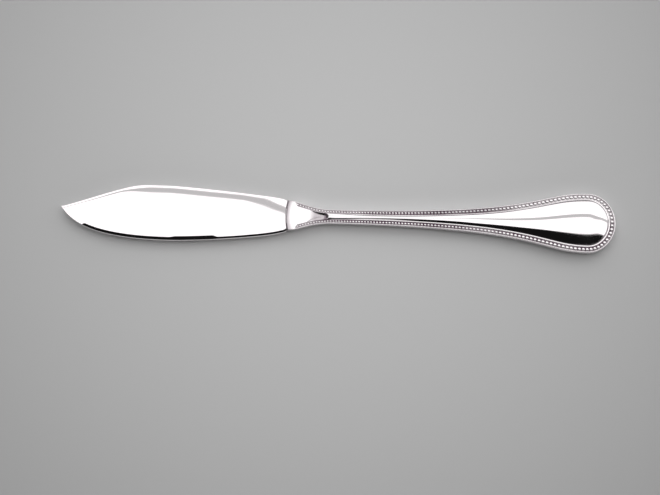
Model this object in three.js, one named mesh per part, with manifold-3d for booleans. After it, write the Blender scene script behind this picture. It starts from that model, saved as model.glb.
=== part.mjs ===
// Butter knife with a hollow, bead-bordered handle.
//
// The blade is one forging with a tapered tang. The handle is struck as two half shells that are
// soldered along a seam on the knife's middle plane. A cement core fills the hollow and grips the tang.
//
// Millimetres. X runs along the knife from the tip to the butt, +Y is the side of the blade's spine and
// +Z the upper face. Shapes are worked out from the joint, where the blade meets the handle's mouth.

import * as THREE from 'three';
import { ConvexGeometry } from 'three/addons/geometries/ConvexGeometry.js';
import { mergeVertices } from 'three/addons/utils/BufferGeometryUtils.js';
import Module from 'manifold-3d';

// Blade
const BLADE_LENGTH = 68.9;
const BLADE_THICKNESS = 1.9;
const HEEL_WIDTH = 10.9;
const HEEL_ROUND = 2.0;
const SPINE_REACH = 8.54;
const SPINE_CREST_AT = 38.6;
const CLIP_START_AT = 50.8;
const CLIP_START_REACH = 7.15;
const BELLY_REACH = 8.63;
const BELLY_LOWEST_AT = 32;
const TIP_REACH = 1.15;
const TIP_WIDTH = 0.4;
const BEVEL_WIDTH = 1.2;
const BEVEL_DROP = 0.45;
const CROWN_WIDTH_HEEL = 6.2;
const CROWN_WIDTH_BODY = 3.8;
const CROWN_WIDTH_TIP = 1.3;
const CROWN_SLOPE = 0.125;

// Tang
const TANG_LENGTH = 45;
const TANG_THICKNESS = 0.8;
const TANG_ROOT_WIDTH = 4.8;
const TANG_NECK_WIDTH = 1.6;
const TANG_END_WIDTH = 1.2;
const TANG_NECK_AT = 10;
const TANG_FIT = 0.1;

// Handle outline
const HANDLE_LENGTH = 101;
const MOUTH_WIDTH = 9.28;
const MOUTH_BOW = 0.5;
const NECK_AT = 15;
const RIDGE_WIDTH = 2;
const BUTT_WIDTH = 18.4;
const BUTT_ROUND = 8.6;

// Handle heights, measured upward from the floor of the bead channel
const FAN_RISE = 0.62;
const MOUTH_RIM_RISE = 0.62;
const CHANNEL_DEPTH = 0.28;
const VALLEY_RISE = 0.05;
const RIDGE_RISE = 0.48;
const DOME_RISE = 0.98;

// Where those heights are reached, and the roundings
const FAN_FALL_AT = 3.2;
const RIM_LEVEL_AT = 11;
const VALLEY_AT = 11.9;
const NOSE_LENGTH = 1.4;
const RIDGE_END_AT = 55;
const DOME_FULL_AT = 88;
const LIP_ROUND = 0.7;
const LIP_DROP = 0.65;
const EDGE_ROUND = 0.3;
const CREST_LAND = 1.4;

// Bead border
const BEAD_SMALL = 0.7;
const BEAD_LARGE = 1.08;
const BEAD_GROW_FROM = 16;
const BEAD_GROW_TO = 80;
const BEAD_START_AT = 3.2;
const BEAD_FADE = 0.6;
const BEAD_PITCH_SMALL = 0.86;
const BEAD_PITCH_LARGE = 1.26;
const BEAD_HEIGHT_RATIO = 0.42;
const BEAD_TOP_RATIO = 0.54;
const BEAD_SIDES = 5;
const RIM_RATIO = 0.45;
const GROOVE_RATIO = 0.2;
const THREAD_RATIO = 0.44;
const THREAD_START_AT = 15;
const THREAD_FULL_AT = 26;

// Shell, seam and core
const WALL = 0.5;
const RIM_WALL = 0.75;
const END_WALL = 1.4;
const CORE_FIT = 0.1;
const CORE_COVER = 0.12;
const SEAM_THICKNESS = 0.12;
const SEAM_INSET = 0.05;
const JOINT_GAP = 0.1;

// Curve handles, as shares of the run and of the rise that each curve covers
const HEEL_HANDLE = { run: 0.45, rise: 0.8 };
const SPINE_HANDLES = { start: 0.22, rise: 0.34, end: 0.23 };
const CREST_HANDLES = { start: 0.48, end: 0.33, slope: 0.1 };
const CLIP_HANDLES = { start: 0.34, startFall: 0.29, end: 0.68, endFall: 0.64 };
const HEEL_BELLY_HANDLES = { start: 0.23, rise: 0.54, end: 0.4 };
const POINT_BELLY_HANDLES = { start: 0.38, end: 0.185, reach: 0.93 };
const FLARE_HANDLES = { start: 0.31, fall: 0.14, end: 0.55 };
const SWELL_HANDLES = { start: 0.826, end: 0.2 };

// Shares of a width at which a profile has its corners, and limits on narrow places
const CROWN_SHARES = [1, 0.55, 0.25, 0];
const LIP_SHARES = [0, 0.3, 1];
const PANEL_SHARES = [0, 0.3, 0.62, 1];
const HOLLOW_SHARES = [0, 0.5, 1];
const BEVEL_LIMIT = 0.35;
const CROWN_LIMIT = 0.45;
const CROWN_SETTLED = 0.3;
const LAND_LIMIT = 0.35;
const BORDER_LEAST = 0.1;
const CAP_FOOT_SHARE = 0.12;
const SOLDER_REACH = 0.8;

// Finishes
const SILVER = { color: 0xe4e1dd, metalness: 1, roughness: 0.12 };
const SOLDER = { color: 0xb4b5b6, metalness: 1, roughness: 0.35 };
const CEMENT = { color: 0xa79a86, metalness: 0, roughness: 0.95 };

// Worked-out values
const mouthHalf = MOUTH_WIDTH / 2;
const buttHalf = BUTT_WIDTH / 2;
const buttCentre = HANDLE_LENGTH - BUTT_ROUND;
const tangHalf = TANG_THICKNESS / 2;
const seamHalf = SEAM_THICKNESS / 2;
const floorLevel = tangHalf + TANG_FIT + CORE_COVER + CORE_FIT + WALL;
const smallBorder = BEAD_SMALL * (RIM_RATIO + 1 + GROOVE_RATIO);
const neckHalf = RIDGE_WIDTH / 2 + smallBorder;

const wasm = await Module();
wasm.setup();

const { lerp, smoothstep } = THREE.MathUtils;
const point = (x, y) => new THREE.Vector2(x, y);
const ramp = (x, from, to, low, high) => lerp(low, high, smoothstep(x, from, to));

// Turns a closed geometry into a solid for joining and cutting.
function solid(geometry) {
  const bare = geometry.clone();
  bare.deleteAttribute('normal');
  bare.deleteAttribute('uv');
  const merged = mergeVertices(bare, 1e-4);
  const mesh = new wasm.Mesh({
    numProp: 3,
    vertProperties: new Float32Array(merged.attributes.position.array),
    triVerts: new Uint32Array(merged.index.array),
  });
  return new wasm.Manifold(mesh);
}

function geometryOf(body) {
  const mesh = body.getMesh();
  const geometry = new THREE.BufferGeometry();
  geometry.setAttribute('position', new THREE.BufferAttribute(mesh.vertProperties, 3));
  geometry.setIndex(new THREE.BufferAttribute(mesh.triVerts, 1));
  geometry.computeVertexNormals();
  return geometry;
}

function indexedGeometry(corners, faces) {
  const geometry = new THREE.BufferGeometry();
  geometry.setAttribute('position', new THREE.Float32BufferAttribute(corners.flat(), 3));
  geometry.setIndex(faces.flat());
  return geometry;
}

// Height of a curve whose x never turns back, found by halving the curve's parameter.
function reachAt(curve, x) {
  let low = 0;
  let high = 1;
  for (let step = 0; step < 40; step += 1) {
    const middle = (low + high) / 2;
    if (curve.getPoint(middle).x < x) low = middle;
    else high = middle;
  }
  return curve.getPoint((low + high) / 2).y;
}

function chain(...curves) {
  const path = new THREE.CurvePath();
  curves.forEach((curve) => path.add(curve));
  return path;
}

const bezier = (a, b, c, d) => new THREE.CubicBezierCurve(a, b, c, d);

// Even steps from one place to another, without the last one.
function steps(from, to, count) {
  return Array.from({ length: count }, (_, i) => lerp(from, to, i / count));
}

// Blade outline, measured from the shoulder toward the tip.
const shoulderWidth = MOUTH_WIDTH;
const heelHalf = HEEL_WIDTH / 2;
const spineCrest = point(SPINE_CREST_AT, SPINE_REACH);
const clipStart = point(CLIP_START_AT, CLIP_START_REACH);
const clipRun = BLADE_LENGTH - CLIP_START_AT;
const clipFall = CLIP_START_REACH - TIP_REACH - TIP_WIDTH / 2;
const crestRun = CLIP_START_AT - SPINE_CREST_AT;
const spineRun = SPINE_CREST_AT - HEEL_ROUND;
const bellyRun = BELLY_LOWEST_AT - HEEL_ROUND;
const pointRun = BLADE_LENGTH - BELLY_LOWEST_AT;

function heelCurve(side) {
  const rise = heelHalf - shoulderWidth / 2;
  return new THREE.QuadraticBezierCurve(
    point(0, side * shoulderWidth / 2),
    point(HEEL_ROUND * HEEL_HANDLE.run, side * (shoulderWidth / 2 + rise * HEEL_HANDLE.rise)),
    point(HEEL_ROUND, side * heelHalf),
  );
}

function clipHandle(along, fall) {
  return point(CLIP_START_AT + clipRun * along, CLIP_START_REACH - clipFall * fall);
}

const spine = chain(
  heelCurve(1),
  bezier(
    point(HEEL_ROUND, heelHalf),
    point(HEEL_ROUND + spineRun * SPINE_HANDLES.start, lerp(heelHalf, SPINE_REACH, SPINE_HANDLES.rise)),
    point(SPINE_CREST_AT - spineRun * SPINE_HANDLES.end, SPINE_REACH),
    spineCrest,
  ),
  bezier(
    spineCrest,
    point(SPINE_CREST_AT + crestRun * CREST_HANDLES.start, SPINE_REACH),
    point(CLIP_START_AT - crestRun * CREST_HANDLES.end, CLIP_START_REACH + crestRun * CREST_HANDLES.slope),
    clipStart,
  ),
  bezier(
    clipStart,
    clipHandle(CLIP_HANDLES.start, CLIP_HANDLES.startFall),
    clipHandle(CLIP_HANDLES.end, CLIP_HANDLES.endFall),
    point(BLADE_LENGTH, TIP_REACH + TIP_WIDTH / 2),
  ),
);

const belly = chain(
  heelCurve(-1),
  bezier(
    point(HEEL_ROUND, -heelHalf),
    point(
      HEEL_ROUND + bellyRun * HEEL_BELLY_HANDLES.start,
      -lerp(heelHalf, BELLY_REACH, HEEL_BELLY_HANDLES.rise),
    ),
    point(BELLY_LOWEST_AT - bellyRun * HEEL_BELLY_HANDLES.end, -BELLY_REACH),
    point(BELLY_LOWEST_AT, -BELLY_REACH),
  ),
  bezier(
    point(BELLY_LOWEST_AT, -BELLY_REACH),
    point(BELLY_LOWEST_AT + pointRun * POINT_BELLY_HANDLES.start, -BELLY_REACH),
    point(BLADE_LENGTH - pointRun * POINT_BELLY_HANDLES.end, -BELLY_REACH * POINT_BELLY_HANDLES.reach),
    point(BLADE_LENGTH, TIP_REACH - TIP_WIDTH / 2),
  ),
);

// The joint line bows toward the blade. The bow dies out along the length it is given.
function bowAt(y, halfWidth, distance, length) {
  const left = Math.max(0, 1 - distance / length);
  return MOUTH_BOW * (y / halfWidth) ** 2 * left;
}

// Width of the rounding beside the spine: broad at the heel, narrow along the clip.
function crownWidth(along) {
  const body = ramp(along, 0, SPINE_CREST_AT * CROWN_SETTLED, CROWN_WIDTH_HEEL, CROWN_WIDTH_BODY);
  return ramp(along, SPINE_CREST_AT, CLIP_START_AT, body, CROWN_WIDTH_TIP);
}

// One section of the blade as a closed loop: up the front face from the edge, down the back face.
function bladeSection(along) {
  const top = reachAt(spine, along);
  const bottom = reachAt(belly, along);
  const width = top - bottom;
  const bevel = Math.min(BEVEL_WIDTH, width * BEVEL_LIMIT);
  const crown = Math.min(crownWidth(along), width * CROWN_LIMIT);
  const crownDrop = crown * CROWN_SLOPE / 2;
  const half = BLADE_THICKNESS / 2;
  const front = [[bottom, half - BEVEL_DROP], [bottom + bevel, half]];
  for (const share of CROWN_SHARES) {
    front.push([top - crown * share, half - crownDrop * (1 - share) ** 2]);
  }
  const back = front.map(([y, z]) => [y, -z]).reverse();
  return front.concat(back).map(([y, z]) => {
    const bow = bowAt(y, shoulderWidth / 2, along, HEEL_WIDTH);
    return [bow - JOINT_GAP - along, y, z];
  });
}

function bladeBody() {
  const stops = [
    ...steps(0, HEEL_ROUND, 3),
    ...steps(HEEL_ROUND, SPINE_CREST_AT, 9),
    ...steps(SPINE_CREST_AT, CLIP_START_AT, 6),
    ...steps(0, Math.PI / 2, 9).map((turn) => CLIP_START_AT + clipRun * Math.sin(turn)),
    BLADE_LENGTH,
  ];
  const sections = stops.map(bladeSection);
  const size = sections[0].length;
  const last = sections.length - 1;
  const faces = [];
  for (let i = 0; i < last; i += 1) {
    for (let k = 0; k < size; k += 1) {
      const next = (k + 1) % size;
      const [a, b] = [i * size + k, i * size + next];
      faces.push([a, b, b + size], [a, b + size, a + size]);
    }
  }
  for (let k = 0; k < size / 2 - 1; k += 1) {
    const [a, b] = [k, k + 1];
    const [c, d] = [size - 2 - k, size - 1 - k];
    faces.push([a, d, c], [a, c, b]);
    const end = last * size;
    faces.push([end + a, end + c, end + d], [end + a, end + b, end + c]);
  }
  return solid(indexedGeometry(sections.flat(), faces));
}

// Flat tang, wider by twice the clearance where it is used to cut its own slot.
function tangBody(clearance) {
  const root = TANG_ROOT_WIDTH / 2 + clearance;
  const neck = TANG_NECK_WIDTH / 2 + clearance;
  const end = TANG_END_WIDTH / 2 + clearance;
  const start = -HEEL_ROUND;
  const outline = new THREE.Shape([
    point(start, -root),
    point(MOUTH_BOW, -root),
    point(TANG_NECK_AT, -neck),
    point(TANG_LENGTH + clearance, -end),
    point(TANG_LENGTH + clearance, end),
    point(TANG_NECK_AT, neck),
    point(MOUTH_BOW, root),
    point(start, root),
  ]);
  const depth = TANG_THICKNESS + 2 * clearance;
  const plate = new THREE.ExtrudeGeometry(outline, { depth, bevelEnabled: false });
  plate.translate(0, 0, -depth / 2);
  return solid(plate);
}

// Handle outline: a flare at the mouth, a slim neck, a long swell and an elliptical butt.
const flareRun = NECK_AT - MOUTH_BOW;
const swellRun = buttCentre - NECK_AT;
const sideCurve = chain(
  bezier(
    point(MOUTH_BOW, mouthHalf),
    point(MOUTH_BOW + flareRun * FLARE_HANDLES.start, lerp(mouthHalf, neckHalf, FLARE_HANDLES.fall)),
    point(NECK_AT - flareRun * FLARE_HANDLES.end, neckHalf),
    point(NECK_AT, neckHalf),
  ),
  bezier(
    point(NECK_AT, neckHalf),
    point(NECK_AT + swellRun * SWELL_HANDLES.start, neckHalf),
    point(buttCentre - swellRun * SWELL_HANDLES.end, buttHalf),
    point(buttCentre, buttHalf),
  ),
);

// A station is a ray from the outline to the handle's axis.
function sideStation(along) {
  const bow = bowAt(1, 1, along - MOUTH_BOW, VALLEY_AT);
  const halfWidth = reachAt(sideCurve, along);
  return { along, edge: point(along, halfWidth), foot: point(along - bow, 0), bend: 2 };
}

function capStation(turn) {
  const x = BUTT_ROUND * Math.sin(turn);
  const edge = point(buttCentre + x, buttHalf * Math.cos(turn));
  return { along: buttCentre, edge, foot: point(buttCentre + x * CAP_FOOT_SHARE, 0), bend: 1 };
}

function tipStation() {
  const foot = point(buttCentre + BUTT_ROUND * CAP_FOOT_SHARE, 0);
  return { along: buttCentre, edge: point(HANDLE_LENGTH, 0), foot, bend: 1 };
}

const rayLength = (station) => station.edge.distanceTo(station.foot);

// A place on a station's ray, a given distance in from the outline.
function inward(station, depth) {
  const left = 1 - depth / rayLength(station);
  const x = lerp(station.foot.x, station.edge.x, left ** station.bend);
  return point(x, station.edge.y * left);
}

// Heights and widths that change along the handle.
function beadGrowth(along) {
  return THREE.MathUtils.clamp((along - BEAD_GROW_FROM) / (BEAD_GROW_TO - BEAD_GROW_FROM), 0, 1);
}

const beadSize = (along) => lerp(BEAD_SMALL, BEAD_LARGE, beadGrowth(along));
const beadPitch = (along) => lerp(BEAD_PITCH_SMALL, BEAD_PITCH_LARGE, beadGrowth(along));

const borderShare = (along) => ramp(along, BEAD_START_AT - BEAD_FADE, BEAD_START_AT + BEAD_FADE, 0, 1);
const threadShare = (along) => ramp(along, THREAD_START_AT, THREAD_FULL_AT, 0, 1);
const rimRise = (along) => ramp(along, BEAD_START_AT, RIM_LEVEL_AT, MOUTH_RIM_RISE, CHANNEL_DEPTH);
const rimHeight = (along) => floorLevel + rimRise(along);
const floorHeight = (along) => rimHeight(along) - CHANNEL_DEPTH * borderShare(along);

function crestHeight(along) {
  const fan = ramp(along, FAN_FALL_AT, VALLEY_AT, FAN_RISE, VALLEY_RISE);
  const nose = ramp(along, VALLEY_AT, VALLEY_AT + NOSE_LENGTH, fan, RIDGE_RISE);
  return floorLevel + ramp(along, RIDGE_END_AT, DOME_FULL_AT, nose, DOME_RISE);
}

// Rounding of the lip around the mouth.
function lipDrop(along) {
  const left = THREE.MathUtils.clamp(1 - (along - MOUTH_BOW) / LIP_ROUND, 0, 1);
  return LIP_DROP * (1 - Math.sqrt(1 - left * left));
}

// Widths of rim, bead channel and thread. Before the first bead they shrink to a plain round edge.
function borderWidths(along) {
  const share = borderShare(along);
  const bead = beadSize(along);
  const rim = lerp(EDGE_ROUND, bead * RIM_RATIO, share);
  const channel = bead * lerp(BORDER_LEAST, 1 + GROOVE_RATIO, share);
  const thread = bead * lerp(BORDER_LEAST, THREAD_RATIO, threadShare(along));
  return { rim, channel, thread, total: rim + channel + thread };
}

// The domed panel along one ray, from the border to the flat land on the crest.
function panelProfile(station, shares) {
  const { along } = station;
  const { total } = borderWidths(along);
  const panel = rayLength(station) - total;
  const land = Math.min(CREST_LAND / 2, panel * LAND_LIMIT);
  const floor = floorHeight(along);
  const crest = crestHeight(along);
  return shares.map((share) => {
    const rise = 1 - (1 - share) ** 2;
    return [total + (panel - land) * share, lerp(floor, crest, rise)];
  });
}

// The outer surface along one ray: round rim, bead channel, thread and panel.
function outerRow(station) {
  const { along } = station;
  const { rim, channel, thread } = borderWidths(along);
  const floor = floorHeight(along);
  const top = rimHeight(along);
  const threadTop = lerp(floor, top, threadShare(along));
  const profile = [
    [0, top - EDGE_ROUND],
    [rim / 2, top],
    [rim, floor],
    [rim + channel, floor],
    [rim + channel + thread / 2, threadTop],
    ...panelProfile(station, PANEL_SHARES),
  ];
  const drop = lipDrop(along);
  return profile.map(([depth, height]) => {
    const place = inward(station, depth);
    return [place.x, place.y, height - drop];
  });
}

// The hollow along one ray, one wall below the panel. The clearance makes the core that lies in it.
function hollowRow(station, clearance) {
  const side = RIM_WALL + clearance;
  const floor = floorHeight(station.along);
  const panel = panelProfile(station, HOLLOW_SHARES).map(([depth, height]) => {
    return [Math.max(depth, side + EDGE_ROUND), height];
  });
  return [[side, floor], ...panel].map(([depth, height]) => {
    const place = inward(station, depth);
    return [place.x, place.y, height - WALL - clearance];
  });
}

// A closed body over mirrored rows of places: each row runs inward from the outline, and the rows go
// from the mouth to the butt. The last row lies on the axis. The base gives the underside's height.
// The facets mirror each other across the axis, so that a turned copy fits its neighbours alike.
function slab(rows, base) {
  const mirrored = rows.slice(0, -1).reverse().map((row) => row.map(([x, y, z]) => [x, -y, z]));
  const loop = rows.concat(mirrored);
  const size = rows[0].length;
  const upper = loop.flat();
  const lower = upper.map(([x, y, z]) => [x, y, base(z)]);
  const under = upper.length;
  const at = (row, ring) => row * size + ring;
  const faces = [];
  const cover = (...corners) => {
    const [a, b, c] = corners;
    faces.push([a, b, c], [under + a, under + c, under + b]);
  };
  const last = loop.length - 1;
  for (let row = 0; row < last; row += 1) {
    for (let ring = 0; ring < size - 1; ring += 1) {
      const [a, b] = [at(row, ring), at(row, ring + 1)];
      const [c, d] = [at(row + 1, ring + 1), at(row + 1, ring)];
      if (row < last / 2) {
        cover(a, b, c);
        cover(a, c, d);
      } else {
        cover(a, b, d);
        cover(b, c, d);
      }
    }
  }
  for (let row = 0; row < last / 2; row += 1) {
    const [a, b] = [at(row, size - 1), at(row + 1, size - 1)];
    const [c, d] = [at(last - row - 1, size - 1), at(last - row, size - 1)];
    cover(a, d, b);
    if (b !== c) cover(d, c, b);
  }
  const rings = rows[0].map((_, ring) => ring);
  const border = [
    ...loop.map((_, row) => at(row, 0)),
    ...rings.slice(1).map((ring) => at(last, ring)),
    ...rings.slice(1).reverse().map((ring) => at(0, ring)),
  ];
  border.forEach((a, i) => {
    const b = border[(i + 1) % border.length];
    faces.push([a, b, under + b], [a, under + b, under + a]);
  });
  return solid(indexedGeometry(upper.concat(lower), faces));
}

const capTurns = (count) => steps(0, Math.PI / 2, count).slice(1);

// Rays of the outer surface, closer together where the form changes quickly.
const outerStations = [
  ...LIP_SHARES.map((share) => sideStation(MOUTH_BOW + LIP_ROUND * share)),
  ...steps(BEAD_START_AT - BEAD_FADE, BEAD_START_AT + BEAD_FADE, 2).map(sideStation),
  ...steps(BEAD_START_AT + BEAD_FADE, VALLEY_AT, 4).map(sideStation),
  ...steps(VALLEY_AT, VALLEY_AT + NOSE_LENGTH, 2).map(sideStation),
  ...steps(VALLEY_AT + NOSE_LENGTH, RIDGE_END_AT, 6).map(sideStation),
  ...steps(RIDGE_END_AT, DOME_FULL_AT, 7).map(sideStation),
  ...steps(DOME_FULL_AT, buttCentre, 2).map(sideStation),
  sideStation(buttCentre),
  ...capTurns(7).map(capStation),
  tipStation(),
];

const hollowStart = MOUTH_BOW + END_WALL;
const innerStations = outerStations.filter((station) => station.along > hollowStart + CORE_FIT);

function hollowBody() {
  const stations = [sideStation(hollowStart), ...innerStations];
  const rows = stations.map((station) => hollowRow(station, 0));
  return slab(rows, () => -SEAM_THICKNESS);
}

// The core shares the hollow's rays, so that its facets stay beside the hollow's.
function coreBody() {
  const stations = [sideStation(hollowStart + CORE_FIT), ...innerStations];
  const rows = stations.map((station) => hollowRow(station, CORE_FIT));
  return slab(rows, (z) => -z).subtract(tangBody(TANG_FIT));
}

// Bead places on one side of the handle. The pitch grows with the beads from the neck to the butt.
function beadPlaces() {
  const path = [
    ...steps(BEAD_START_AT, buttCentre, 400).map(sideStation),
    ...steps(0, Math.PI / 2, 100).map(capStation),
    tipStation(),
  ].map((station) => {
    const bead = beadSize(station.along);
    const { rim } = borderWidths(station.along);
    const centre = inward(station, rim + bead / 2);
    return { along: station.along, bead, centre, count: 0 };
  });
  for (let i = 1; i < path.length; i += 1) {
    const stride = path[i].centre.distanceTo(path[i - 1].centre);
    path[i].count = path[i - 1].count + stride / beadPitch(path[i].along);
  }
  const total = Math.round(path.at(-1).count);
  const share = path.at(-1).count / total;
  return Array.from({ length: total }, (_, i) => path.find((stop) => stop.count >= (i + 0.5) * share));
}

// A bead is a low faceted dome with its foot sunk into the channel's floor.
function beadGeometry({ along, bead, centre }, side) {
  const floor = floorHeight(along);
  const levels = [
    { radius: bead / 2, height: floor - CHANNEL_DEPTH / 2 },
    { radius: bead * BEAD_TOP_RATIO / 2, height: floor + bead * BEAD_HEIGHT_RATIO },
  ];
  const corners = steps(0, 2 * Math.PI, BEAD_SIDES).flatMap((turn) => levels.map(({ radius, height }) => {
    const x = centre.x + radius * Math.cos(turn);
    const y = centre.y + radius * Math.sin(turn);
    return new THREE.Vector3(x, side * y, height);
  }));
  return new ConvexGeometry(corners);
}

function beadBodies() {
  return beadPlaces().flatMap((place) => [1, -1].map((side) => solid(beadGeometry(place, side))));
}

function shellBody(hollow, slot) {
  const rows = outerStations.map(outerRow);
  const hollowed = slab(rows, () => seamHalf).subtract(hollow).subtract(slot);
  return wasm.Manifold.union([hollowed, ...beadBodies()]);
}

// Solder that joins the two rims, a little short of the outline.
function solderBody(hollow, slot) {
  const rows = outerStations.map((station) => {
    const depths = [SEAM_INSET, RIM_WALL, rayLength(station) * SOLDER_REACH];
    return depths.map((depth) => [...inward(station, depth).toArray(), seamHalf]);
  });
  return slab(rows, () => -seamHalf).subtract(hollow).subtract(slot);
}

function piece(name, body, finish) {
  const mesh = new THREE.Mesh(geometryOf(body), new THREE.MeshStandardMaterial(finish));
  mesh.name = name;
  return mesh;
}

const hollow = hollowBody();
const slot = tangBody(TANG_FIT);
const shell = shellBody(hollow, slot);

const blade = piece('blade', bladeBody().add(tangBody(0)), SILVER);
const frontShell = piece('handle_front_shell', shell, SILVER);
const backShell = piece('handle_back_shell', shell, SILVER);
backShell.rotation.x = Math.PI;
const core = piece('handle_filler', coreBody(), CEMENT);
const seam = piece('seam_solder', solderBody(hollow, slot), SOLDER);

// The origin lies under the middle of the knife, on the surface that it rests on.
const butterKnife = new THREE.Group();
butterKnife.add(blade, frontShell, backShell, core, seam);
const tipX = -JOINT_GAP - BLADE_LENGTH;
butterKnife.position.set(-(tipX + HANDLE_LENGTH) / 2, 0, floorLevel + DOME_RISE);

export default butterKnife;
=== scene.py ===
"""Looks of a butter knife with a bead-bordered hollow handle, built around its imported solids.

The blade and the two half shells of the handle are made again as smooth meshes of the same form, and the
bead rows and threads of the border are laid along the handle's outline with Geometry Nodes.

Sizes are metres. X runs from the tip to the butt, +Y is the side of the blade's spine and +Z the upper face.
Distances called along are measured from the joint between blade and handle, and heights from the seam.
A flank of the handle is 1 or -1. On the front, 1 is by the spine. The back is the same stamping turned over.
"""

import logging
import math
from collections.abc import Callable
from dataclasses import dataclass
from enum import Enum

import bmesh
import bpy
import numpy as np
from mathutils import Matrix, Vector


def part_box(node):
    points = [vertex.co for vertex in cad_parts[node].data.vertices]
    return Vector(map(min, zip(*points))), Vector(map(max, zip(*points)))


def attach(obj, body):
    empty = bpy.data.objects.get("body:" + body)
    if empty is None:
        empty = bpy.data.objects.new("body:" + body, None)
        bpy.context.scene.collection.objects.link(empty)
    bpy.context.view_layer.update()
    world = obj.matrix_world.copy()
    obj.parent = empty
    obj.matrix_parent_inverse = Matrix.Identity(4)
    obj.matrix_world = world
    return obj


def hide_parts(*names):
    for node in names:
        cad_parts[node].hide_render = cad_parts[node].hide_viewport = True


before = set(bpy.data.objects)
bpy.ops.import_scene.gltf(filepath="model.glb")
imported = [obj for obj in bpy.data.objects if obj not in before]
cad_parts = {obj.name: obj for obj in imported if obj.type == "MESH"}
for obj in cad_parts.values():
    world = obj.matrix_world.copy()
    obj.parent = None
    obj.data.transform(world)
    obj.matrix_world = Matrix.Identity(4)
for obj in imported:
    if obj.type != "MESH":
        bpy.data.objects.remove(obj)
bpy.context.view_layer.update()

log = logging.getLogger("butter_knife")

Array = np.ndarray
Values = np.ndarray | float
Pair = tuple[float, float]
Colour = tuple[float, float, float]
Place = tuple[float, float, float]
Pairs = tuple[Pair, ...]
Face = tuple[int, ...]
Inputs = dict[str | int, object]
Material = bpy.types.Material
Node = bpy.types.Node
Piece = bpy.types.Object
Socket = bpy.types.NodeSocket
Tree = bpy.types.NodeTree

BODY = "root"
PHOTO_WIDTH = 660
QUARTER_TURN = math.pi / 2
MERGE_DIGITS = 9

# Width and bow of the joint between blade and handle
JOINT_WIDTH = 0.00928
JOINT_BOW = 0.0005

# A bead and the thread's section, one unit wide until they are scaled. Patina and painted shade fade up a
# bead's skirt.
HALF_UNIT = 0.5
BEAD_SEGMENTS = 10
BEAD_RINGS = 6
BEAD_SKIRT = 0.25
THREAD_CORNERS = 14


def between(low: Values, high: Values, share: Values) -> Values:
    """Value at a share of the way from low to high."""
    return low + (high - low) * share


def rounding(distance: Array, radius: float) -> Array:
    """Share of a quarter round that is still to rise at a distance from its foot, from 1 to 0."""
    left = np.clip(1.0 - distance / radius, 0.0, 1.0)
    return 1.0 - np.sqrt(1.0 - left * left)


def strip(lower: Array, upper: Array) -> list[Face]:
    """Four-sided faces between two rows of corner numbers."""
    return [(a, b, d, c) for a, b, c, d in zip(lower, lower[1:], upper, upper[1:])]


def there_and_back(near: Array, far: Array) -> Array:
    """Rows of the near flank as far as the butt, then those of the far flank back to the mouth."""
    return np.concatenate([near, far[-2::-1]])


@dataclass(frozen=True)
class Ease:
    """A smooth change over a distance: low before its start, high after its stop."""

    start: float
    stop: float
    low: float = 0.0
    high: float = 1.0

    def at(self, x: Array) -> Array:
        """Value at each x."""
        share = np.clip((x - self.start) / (self.stop - self.start), 0.0, 1.0)
        return self.low + (self.high - self.low) * share * share * (3.0 - 2.0 * share)


class Side(Enum):
    """The two faces of the knife as it lies."""

    FRONT = 1
    BACK = -1

    @property
    def label(self) -> str:
        """Word used in the names of this side's pieces."""
        return self.name.lower()


class Outline:
    """A chain of Bezier curves whose x never turns back, read as a height over x."""

    SAMPLES = 240

    def __init__(self, start: Pair, *legs: tuple[Pair, Pairs]) -> None:
        """Samples the curves.

        Args:
            start: First point of the chain.
            legs: Last point of each curve, and the shares of its way, in x and in y, where its handles lie.
        """
        steps = np.linspace(0.0, 1.0, self.SAMPLES)
        curves = []
        for stop, handles in legs:
            shares = np.array([(0.0, 0.0), *handles, (1.0, 1.0)])
            top = len(shares) - 1
            weights = [math.comb(top, i) * steps**i * (1.0 - steps) ** (top - i) for i in range(top + 1)]
            shares = np.stack(weights, axis=1) @ shares
            curves.append(between(np.array(start), np.array(stop), shares))
            start = stop
        self.points = np.concatenate(curves)

    def reach(self, x: Array) -> Array:
        """Height of the chain over each x."""
        return np.interp(x, self.points[:, 0], self.points[:, 1])


@dataclass(frozen=True)
class KnifePlaces:
    """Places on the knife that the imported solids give."""

    tip_x: float
    mouth_x: float
    butt_x: float
    tang_end_x: float
    seam_z: float
    seam_half: float
    blade_half: float
    spine_reach: float
    belly_reach: float
    butt_half: float
    crest: float

    @classmethod
    def read(cls) -> "KnifePlaces":
        """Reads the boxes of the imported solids.

        Returns:
            The places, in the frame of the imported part.
        """
        blade_low, blade_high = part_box("blade")
        shell_low, shell_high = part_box("handle_front_shell")
        solder_low, solder_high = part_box("seam_solder")
        seam_z = (solder_low.z + solder_high.z) / 2
        return cls(
            tip_x=blade_low.x,
            mouth_x=shell_low.x,
            butt_x=shell_high.x,
            tang_end_x=blade_high.x,
            seam_z=seam_z,
            seam_half=(solder_high.z - solder_low.z) / 2,
            blade_half=(blade_high.z - blade_low.z) / 2,
            spine_reach=blade_high.y,
            belly_reach=-blade_low.y,
            butt_half=shell_high.y,
            crest=shell_high.z - seam_z,
        )


def linked_object(name: str, data: bpy.types.ID) -> Piece:
    """Makes an object and links it to the scene.

    Args:
        name: Its name.
        data: Its mesh or camera.

    Returns:
        The new object.
    """
    piece = bpy.data.objects.new(name, data)
    bpy.context.scene.collection.objects.link(piece)
    return piece


def keep_values(mesh: bpy.types.Mesh, label: str, values: Array) -> None:
    """Stores a value at every corner of a mesh, under a label."""
    attribute = mesh.attributes.new(label, "FLOAT", "POINT")
    attribute.data.foreach_set("value", values.astype(np.float32).ravel())


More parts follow.
